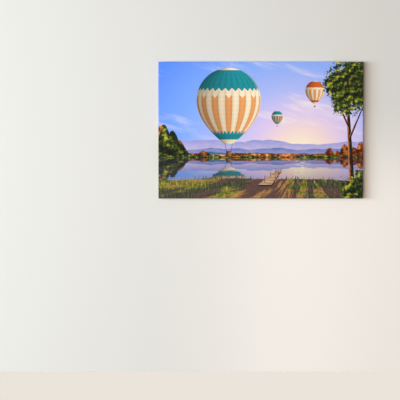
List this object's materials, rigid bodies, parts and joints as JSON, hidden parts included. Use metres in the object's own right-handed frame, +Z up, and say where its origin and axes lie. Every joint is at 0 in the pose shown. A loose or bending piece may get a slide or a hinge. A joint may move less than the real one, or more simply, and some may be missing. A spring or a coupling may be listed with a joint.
{
  "type": "stretched canvas wall print",
  "caption": "Printed canvas wrapped over a mitred pine stretcher frame with a centre brace, corner keys, sawtooth hangers and rubber wall pads; it hangs flat on a wall.",
  "frame": {"origin": "middle of the frame's flat back, on the back face of the centre brace", "axes": "+Y out of the back towards the wall, +X to the right seen from the front, +Z up; the print faces -Y"},
  "size_m": [1.2192, 0.0418, 0.8138],
  "materials": {
    "printed_canvas": "matt printed cotton canvas",
    "pine": "planed, bare",
    "key_wood": "planed, bare",
    "zinc_steel": "zinc plated",
    "rubber": "moulded, matt"
  },
  "bodies": {
    "root": {"canvas": "printed_canvas", "centre_brace": "pine", "top_bar": "pine", "bottom_bar": "pine", "left_bar": "pine", "right_bar": "pine", "top_bar_left_key": "key_wood", "top_bar_right_key": "key_wood", "bottom_bar_left_key": "key_wood", "bottom_bar_right_key": "key_wood", "left_bar_top_key": "key_wood", "left_bar_bottom_key": "key_wood", "right_bar_top_key": "key_wood", "right_bar_bottom_key": "key_wood", "hanger_left": "zinc_steel", "hanger_right": "zinc_steel", "pad_left": "rubber", "pad_right": "rubber"}
  },
  "joints": []
}
